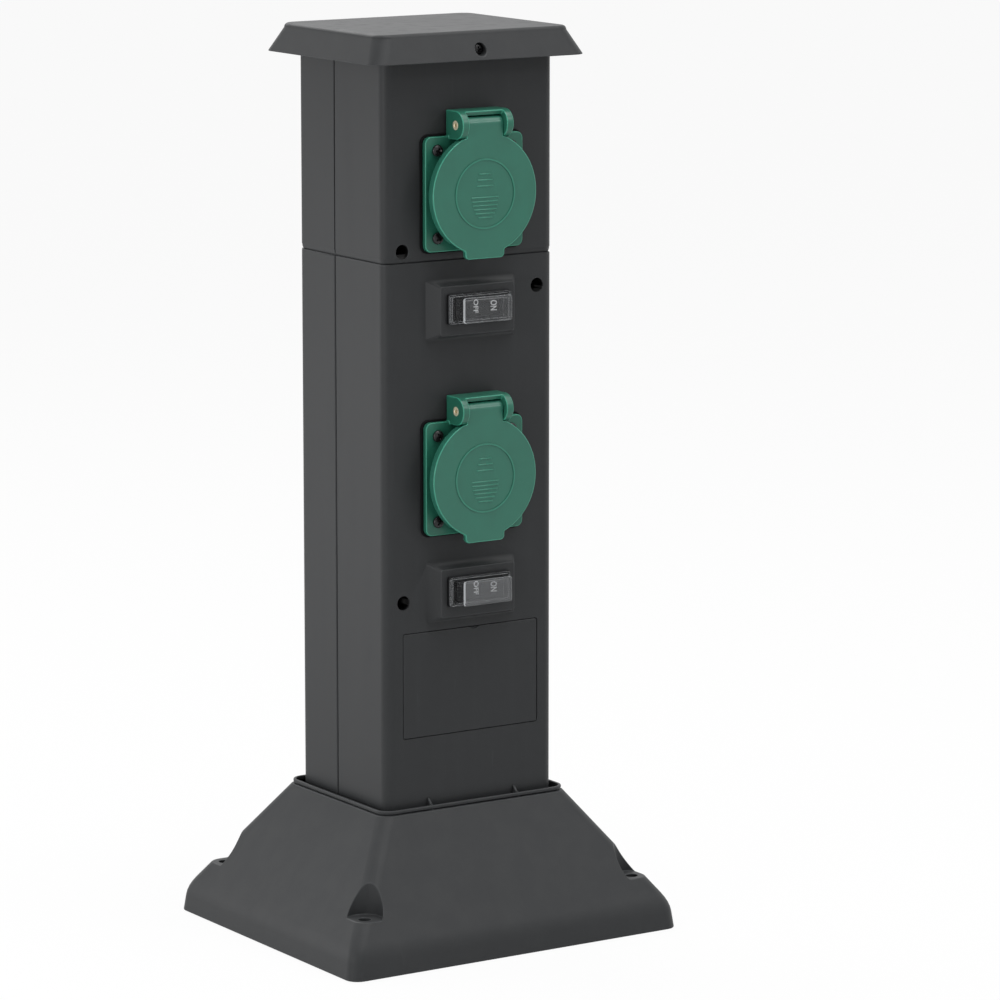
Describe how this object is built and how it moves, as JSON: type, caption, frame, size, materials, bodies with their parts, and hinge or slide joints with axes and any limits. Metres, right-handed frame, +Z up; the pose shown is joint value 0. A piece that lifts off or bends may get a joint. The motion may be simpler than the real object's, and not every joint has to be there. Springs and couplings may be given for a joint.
{
  "type": "garden socket post",
  "caption": "Free-standing garden socket post: square column with sprung socket lids and covered rocker switches, on a sloped hollow foot that is screwed down.",
  "frame": {"origin": "centre of the foot's rectangle on the ground", "axes": "+Z up the column, -Y out of the front face with the sockets, +X to the right of a viewer who faces the sockets"},
  "size_m": [0.171, 0.152, 0.403],
  "materials": {
    "charcoal_plastic": "fine satin texture",
    "green_plastic": "satin",
    "dark_green_plastic": "satin",
    "black_plastic": "satin",
    "pale_plastic": "satin",
    "clear_cover": "clear",
    "black_rubber": "matte",
    "black_steel": "satin black",
    "bright_steel": "zinc plated",
    "brass": "satin",
    "brown_insulation": "satin",
    "blue_insulation": "satin",
    "green_insulation": "satin"
  },
  "bodies": {
    "post": {"foot": "charcoal_plastic", "lower_front_shell": "charcoal_plastic", "lower_rear_shell": "charcoal_plastic", "upper_front_shell": "charcoal_plastic", "upper_rear_shell": "charcoal_plastic", "cap": "charcoal_plastic", "blank_cover": "charcoal_plastic", "shell_screws": "black_steel", "cap_screws": "black_steel", "foot_screws": "bright_steel", "flange_screws": "black_steel", "upper_socket_housing": "dark_green_plastic", "lower_socket_housing": "dark_green_plastic", "upper_flange_gasket": "black_rubber", "lower_flange_gasket": "black_rubber", "upper_hinge_pin": "brass", "lower_hinge_pin": "brass", "upper_lid_spring": "bright_steel", "lower_lid_spring": "bright_steel", "upper_contact_carrier": "black_plastic", "lower_contact_carrier": "black_plastic", "upper_contact_sleeves": "brass", "lower_contact_sleeves": "brass", "upper_earth_clip": "brass", "lower_earth_clip": "brass", "upper_switch_body": "black_plastic", "lower_switch_body": "black_plastic", "upper_switch_cover": "clear_cover", "lower_switch_cover": "clear_cover", "upper_switch_terminals": "brass", "lower_switch_terminals": "brass", "terminal_block": "pale_plastic", "terminal_barrels": "brass", "terminal_screws": "bright_steel", "live_wires": "brown_insulation", "neutral_wires": "blue_insulation", "earth_wires": "green_insulation"},
    "upper_lid": {"upper_socket_lid": "green_plastic", "upper_lid_seal": "black_rubber"},
    "lower_lid": {"lower_socket_lid": "green_plastic", "lower_lid_seal": "black_rubber"},
    "upper_switch_rocker": {"upper_rocker": "black_plastic"},
    "lower_switch_rocker": {"lower_rocker": "black_plastic"}
  },
  "joints": [
    {"name": "upper_lid_hinge", "type": "hinge", "parent": "post", "child": "upper_lid", "pos_m": [0, -0.0452, 0.363], "axis": [-1, 0, 0], "range_deg": [0, 95], "stiffness_Nm_per_rad": 0.03, "springref_deg": -28.65},
    {"name": "lower_lid_hinge", "type": "hinge", "parent": "post", "child": "lower_lid", "pos_m": [0, -0.0452, 0.2385], "axis": [-1, 0, 0], "range_deg": [0, 95], "stiffness_Nm_per_rad": 0.03, "springref_deg": -28.65},
    {"name": "upper_rocker_pivot", "type": "hinge", "parent": "post", "child": "upper_switch_rocker", "pos_m": [0, -0.0409, 0.283], "axis": [0, 0, 1], "range_deg": [0, 13]},
    {"name": "lower_rocker_pivot", "type": "hinge", "parent": "post", "child": "lower_switch_rocker", "pos_m": [0, -0.0409, 0.1585], "axis": [0, 0, 1], "range_deg": [0, 13]}
  ]
}
